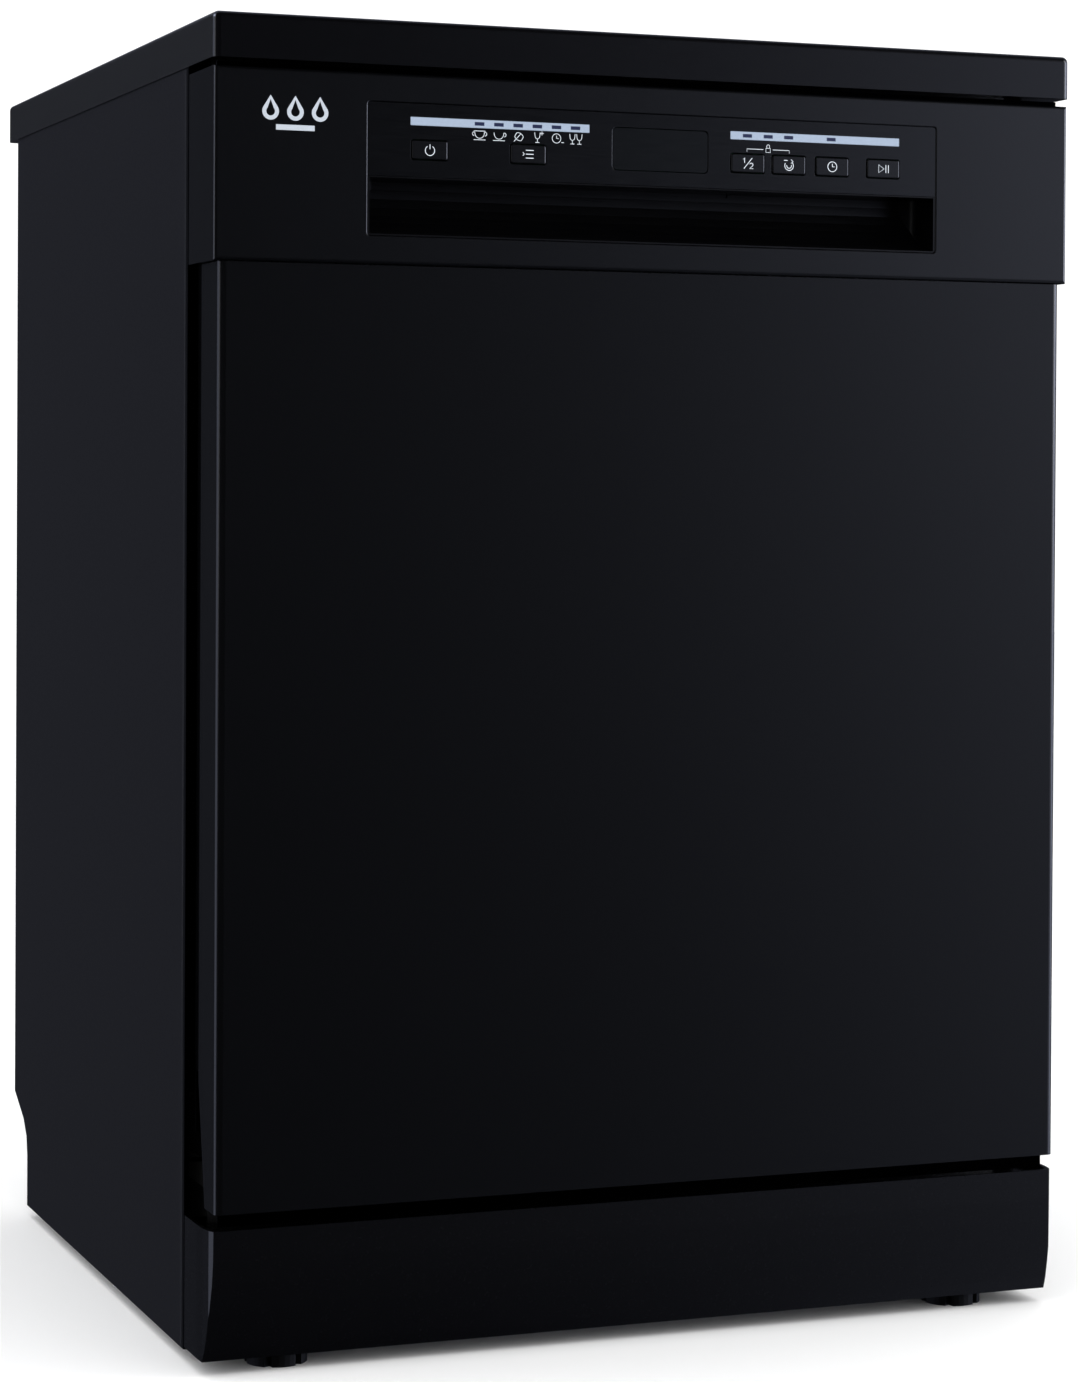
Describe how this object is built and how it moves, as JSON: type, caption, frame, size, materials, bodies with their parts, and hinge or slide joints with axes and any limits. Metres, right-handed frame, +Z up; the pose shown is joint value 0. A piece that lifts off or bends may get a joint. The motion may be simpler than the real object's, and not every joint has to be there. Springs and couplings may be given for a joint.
{
  "type": "dishwasher",
  "caption": "Full-size freestanding dishwasher with a drop-down door, push-button control strip, grip recess, wire racks, spray arms and levelling feet.",
  "frame": {"origin": "on the floor under the middle of the machine, feet screwed fully in", "axes": "+Z up, the door faces -Y, +X to the right as seen from the front"},
  "size_m": [0.598, 0.598, 0.85],
  "materials": {
    "black_enamel": "satin powder coat",
    "door_enamel": "semi-gloss enamel",
    "black_moulding": "fine moulded grain",
    "worktop_laminate": "satin laminate",
    "gloss_insert": "polished",
    "button_caps": "polished",
    "display_glass": "smoked",
    "light_diffuser": "frosted",
    "indicator_window": "polished",
    "stainless": "brushed",
    "zinc_steel": "zinc plated",
    "spring_steel": "oiled",
    "base_plastic": "moulded",
    "grey_plastic": "moulded",
    "white_plastic": "moulded",
    "rack_wire": "nylon coated",
    "seal_rubber": "moulded",
    "motor_case": "painted",
    "circuit_board": "lacquered"
  },
  "bodies": {
    "cabinet": {"worktop_board": "worktop_laminate", "worktop_trim": "black_moulding", "side_panel_left": "black_enamel", "side_panel_right": "black_enamel", "rear_panel": "black_enamel", "cabinet_screws": "zinc_steel", "plinth": "black_moulding", "base_tray": "base_plastic", "tub": "stainless", "top_crossbar": "zinc_steel", "door_gasket": "seal_rubber", "rack_rails": "zinc_steel", "sump": "grey_plastic", "filter_plate": "stainless", "spray_feed_pipe": "grey_plastic", "circulation_pump": "motor_case", "drain_pump": "grey_plastic", "water_softener": "white_plastic", "inlet_valve": "white_plastic", "cable_gland": "base_plastic", "door_strike": "zinc_steel", "hinge_brackets": "zinc_steel", "door_springs": "spring_steel"},
    "door": {"door_outer_panel": "door_enamel", "door_liner": "stainless", "fascia": "black_moulding", "control_strip": "gloss_insert", "display_window": "display_glass", "light_bars": "light_diffuser", "indicator_lenses": "indicator_window", "control_board": "circuit_board", "handle_pocket": "gloss_insert", "latch_housing": "base_plastic", "detergent_dispenser": "grey_plastic", "hinge_arms": "zinc_steel"},
    "lower_basket": {"lower_rack": "rack_wire", "cutlery_basket": "grey_plastic"},
    "upper_basket": {"upper_rack": "rack_wire", "upper_feed_pipe": "grey_plastic"},
    "power_button": {"power_button": "button_caps"},
    "program_button": {"program_button": "button_caps"},
    "half_load_button": {"half_load_button": "button_caps"},
    "extra_button": {"extra_button": "button_caps"},
    "delay_button": {"delay_button": "button_caps"},
    "start_button": {"start_button": "button_caps"},
    "latch_paddle": {"latch_paddle": "black_moulding"},
    "detergent_lid": {"detergent_lid": "grey_plastic"},
    "rinse_aid_cap": {"rinse_aid_cap": "white_plastic"},
    "front_foot_left": {"front_foot_left": "base_plastic"},
    "rear_foot_left": {"rear_foot_left": "base_plastic"},
    "front_foot_right": {"front_foot_right": "base_plastic"},
    "rear_foot_right": {"rear_foot_right": "base_plastic"},
    "lower_wheels_front": {"lower_wheels_front": "grey_plastic"},
    "lower_wheels_rear": {"lower_wheels_rear": "grey_plastic"},
    "upper_rollers_front": {"upper_rollers_front": "grey_plastic"},
    "upper_rollers_rear": {"upper_rollers_rear": "grey_plastic"},
    "lower_spray_arm": {"lower_spray_arm": "grey_plastic"},
    "upper_spray_arm": {"upper_spray_arm": "grey_plastic"},
    "filter_cup": {"filter_cup": "grey_plastic"},
    "salt_cap": {"salt_cap": "white_plastic"}
  },
  "joints": [
    {"name": "door_hinge", "type": "hinge", "parent": "cabinet", "child": "door", "pos_m": [0, -0.2705, 0.122], "axis": [1, 0, 0], "range_deg": [0, 90], "stiffness_Nm_per_rad": 12, "springref_deg": -17.19},
    {"name": "power_button_press", "type": "slide", "parent": "door", "child": "power_button", "axis": [0, 1, 0], "range_m": [0, 0.001], "stiffness_N_per_m": 600, "springref_m": -0.001},
    {"name": "program_button_press", "type": "slide", "parent": "door", "child": "program_button", "axis": [0, 1, 0], "range_m": [0, 0.001], "stiffness_N_per_m": 600, "springref_m": -0.001},
    {"name": "half_load_button_press", "type": "slide", "parent": "door", "child": "half_load_button", "axis": [0, 1, 0], "range_m": [0, 0.001], "stiffness_N_per_m": 600, "springref_m": -0.001},
    {"name": "extra_button_press", "type": "slide", "parent": "door", "child": "extra_button", "axis": [0, 1, 0], "range_m": [0, 0.001], "stiffness_N_per_m": 600, "springref_m": -0.001},
    {"name": "delay_button_press", "type": "slide", "parent": "door", "child": "delay_button", "axis": [0, 1, 0], "range_m": [0, 0.001], "stiffness_N_per_m": 600, "springref_m": -0.001},
    {"name": "start_button_press", "type": "slide", "parent": "door", "child": "start_button", "axis": [0, 1, 0], "range_m": [0, 0.001], "stiffness_N_per_m": 600, "springref_m": -0.001},
    {"name": "paddle_lift", "type": "hinge", "parent": "door", "child": "latch_paddle", "pos_m": [0, -0.2594, 0.7555], "axis": [-1, 0, 0], "range_deg": [0, 8], "stiffness_Nm_per_rad": 0.6, "springref_deg": -5.73},
    {"name": "lid_flip", "type": "hinge", "parent": "door", "child": "detergent_lid", "pos_m": [-0.031, -0.2268, 0.357], "axis": [-1, 0, 0], "range_deg": [0, 95]},
    {"name": "cap_turn", "type": "hinge", "parent": "door", "child": "rinse_aid_cap", "pos_m": [0.054, -0.23, 0.399], "axis": [0, 1, 0], "range_deg": [0, 90]},
    {"name": "lower_slide", "type": "slide", "parent": "cabinet", "child": "lower_basket", "axis": [0, -1, 0], "range_m": [0, 0.012]},
    {"name": "upper_slide", "type": "slide", "parent": "cabinet", "child": "upper_basket", "axis": [0, -1, 0], "range_m": [0, 0.012]},
    {"name": "lower_arm_spin", "type": "hinge", "parent": "cabinet", "child": "lower_spray_arm", "pos_m": [0, -0.012, 0.17], "axis": [0, 0, 1], "continuous": true},
    {"name": "upper_arm_spin", "type": "hinge", "parent": "upper_basket", "child": "upper_spray_arm", "pos_m": [0, -0.012, 0.472], "axis": [0, 0, 1], "continuous": true},
    {"name": "filter_twist", "type": "hinge", "parent": "cabinet", "child": "filter_cup", "pos_m": [0, -0.062, 0.14], "axis": [0, 0, 1], "range_deg": [0, 60]},
    {"name": "salt_cap_turn", "type": "hinge", "parent": "cabinet", "child": "salt_cap", "pos_m": [-0.18, -0.03, 0.15], "axis": [0, 0, 1], "range_deg": [0, 350]},
    {"name": "lower_wheels_front_roll", "type": "hinge", "parent": "lower_basket", "child": "lower_wheels_front", "pos_m": [0, -0.15, 0.18005], "axis": [1, 0, 0], "range_deg": [0, 36]},
    {"name": "lower_wheels_rear_roll", "type": "hinge", "parent": "lower_basket", "child": "lower_wheels_rear", "pos_m": [0, 0.118, 0.18005], "axis": [1, 0, 0], "range_deg": [0, 36]},
    {"name": "upper_rollers_front_roll", "type": "hinge", "parent": "upper_basket", "child": "upper_rollers_front", "pos_m": [0, -0.12, 0.57765], "axis": [1, 0, 0], "range_deg": [0, 92]},
    {"name": "upper_rollers_rear_roll", "type": "hinge", "parent": "upper_basket", "child": "upper_rollers_rear", "pos_m": [0, 0.1, 0.57765], "axis": [1, 0, 0], "range_deg": [0, 92]},
    {"name": "front_foot_left_screw_out", "type": "slide", "parent": "cabinet", "child": "front_foot_left", "axis": [0, 0, -1], "range_m": [0, 0.02]},
    {"name": "front_foot_right_screw_out", "type": "slide", "parent": "cabinet", "child": "front_foot_right", "axis": [0, 0, -1], "range_m": [0, 0.02]},
    {"name": "rear_foot_left_screw_out", "type": "slide", "parent": "cabinet", "child": "rear_foot_left", "axis": [0, 0, -1], "range_m": [0, 0.02]},
    {"name": "rear_foot_right_screw_out", "type": "slide", "parent": "cabinet", "child": "rear_foot_right", "axis": [0, 0, -1], "range_m": [0, 0.02]}
  ],
  "couplings": [
    {"joint": "lower_wheels_front_roll", "follows": "lower_slide", "rad_per_m": 50},
    {"joint": "lower_wheels_rear_roll", "follows": "lower_slide", "rad_per_m": 50},
    {"joint": "upper_rollers_front_roll", "follows": "upper_slide", "rad_per_m": 131.58},
    {"joint": "upper_rollers_rear_roll", "follows": "upper_slide", "rad_per_m": 131.58}
  ]
}
